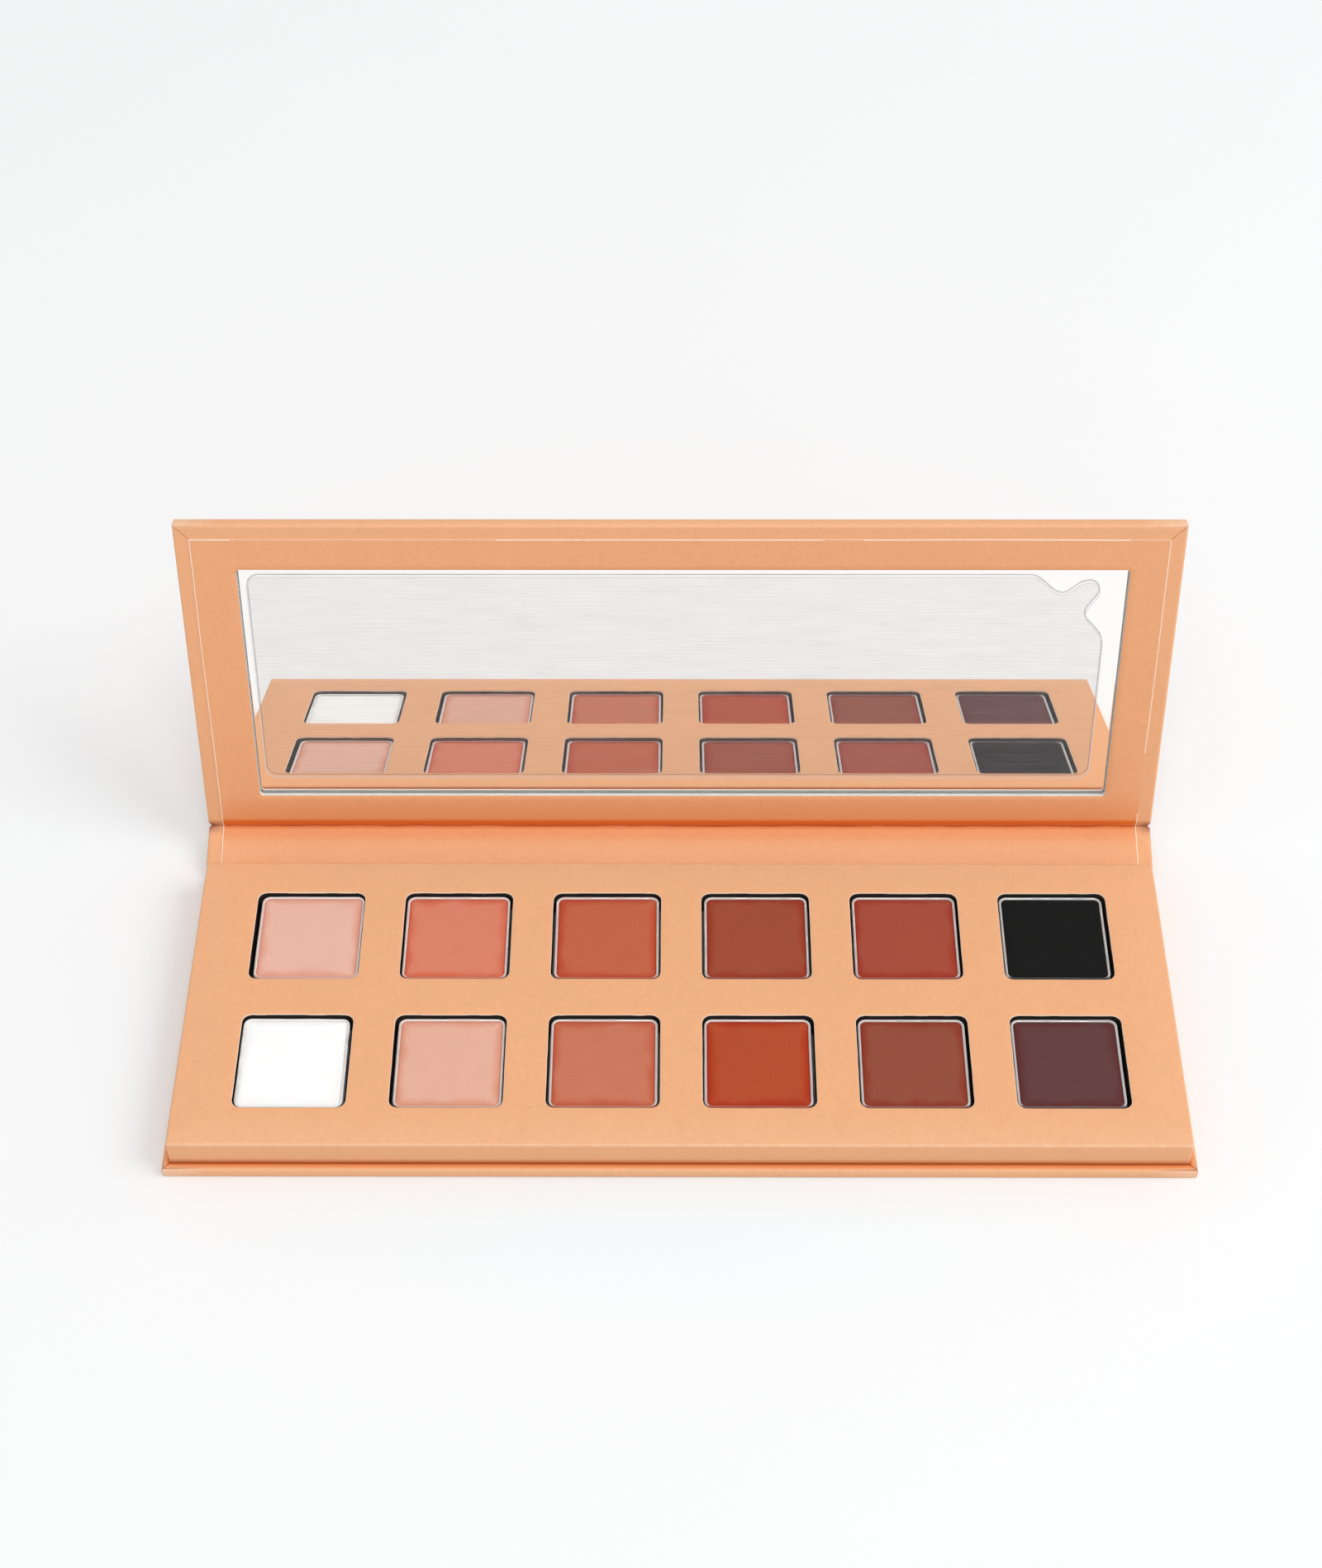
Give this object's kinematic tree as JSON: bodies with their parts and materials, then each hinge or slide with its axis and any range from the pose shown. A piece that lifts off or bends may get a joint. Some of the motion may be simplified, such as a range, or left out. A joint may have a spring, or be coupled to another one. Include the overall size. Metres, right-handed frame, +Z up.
{
  "type": "eyeshadow palette",
  "caption": "Book-style paperboard eyeshadow palette: a hinged lid with a let-in mirror over a shallow tray of square pans of pressed powder, held shut by hidden magnets.",
  "frame": {"origin": "centre of the base's underside, on the table", "axes": "+X to the right along the palette's length, +Y to the back where the lid is hinged, +Z up"},
  "size_m": [0.193, 0.0999, 0.0746],
  "materials": {
    "greyboard": "matte",
    "covering_paper": "satin",
    "liner_paper": "satin",
    "white_board": "matte",
    "tray_core_board": "matte",
    "adhesive": "satin",
    "pan_tinplate": "satin",
    "magnet": "satin",
    "mirror_glass": "polished",
    "mirror_silvering": "polished",
    "protective_film": "glossy",
    "powder_front_1": "matte",
    "powder_front_2": "matte",
    "powder_front_3": "matte",
    "powder_front_4": "matte",
    "powder_front_5": "matte",
    "powder_front_6": "matte",
    "powder_back_1": "matte",
    "powder_back_2": "matte",
    "powder_back_3": "matte",
    "powder_back_4": "matte",
    "powder_back_5": "matte",
    "powder_back_6": "matte"
  },
  "bodies": {
    "base": {"base_board": "greyboard", "base_wrap": "covering_paper", "base_liner": "liner_paper", "tray_glue_sheet": "adhesive", "tray_floor_board": "greyboard", "tray_core": "tray_core_board", "tray_wrap": "covering_paper", "tray_magnets": "magnet", "pan_glue_dots": "adhesive", "pan_front_1": "pan_tinplate", "powder_front_1": "powder_front_1", "pan_front_2": "pan_tinplate", "powder_front_2": "powder_front_2", "pan_front_3": "pan_tinplate", "powder_front_3": "powder_front_3", "pan_front_4": "pan_tinplate", "powder_front_4": "powder_front_4", "pan_front_5": "pan_tinplate", "powder_front_5": "powder_front_5", "pan_front_6": "pan_tinplate", "powder_front_6": "powder_front_6", "pan_back_1": "pan_tinplate", "powder_back_1": "powder_back_1", "pan_back_2": "pan_tinplate", "powder_back_2": "powder_back_2", "pan_back_3": "pan_tinplate", "powder_back_3": "powder_back_3", "pan_back_4": "pan_tinplate", "powder_back_4": "powder_back_4", "pan_back_5": "pan_tinplate", "powder_back_5": "powder_back_5", "pan_back_6": "pan_tinplate", "powder_back_6": "powder_back_6"},
    "spine": {"spine_board": "greyboard", "spine_wrap": "covering_paper", "spine_liner": "liner_paper"},
    "lid": {"lid_back_board": "greyboard", "lid_window_board": "white_board", "lid_wrap": "covering_paper", "lid_liner": "liner_paper", "lid_magnets": "magnet", "mirror_glass": "mirror_glass", "mirror_silvering": "mirror_silvering", "mirror_adhesive": "adhesive", "mirror_film": "protective_film"}
  },
  "joints": [
    {"name": "base_crease", "type": "hinge", "parent": "base", "child": "spine", "pos_m": [0, 0.0373, 0], "axis": [1, 0, 0], "range_deg": [-19.5, 70.5]},
    {"name": "lid_crease", "type": "hinge", "parent": "spine", "child": "lid", "pos_m": [0, 0.04823, 0.00387], "axis": [1, 0, 0], "range_deg": [-57, 33]}
  ]
}
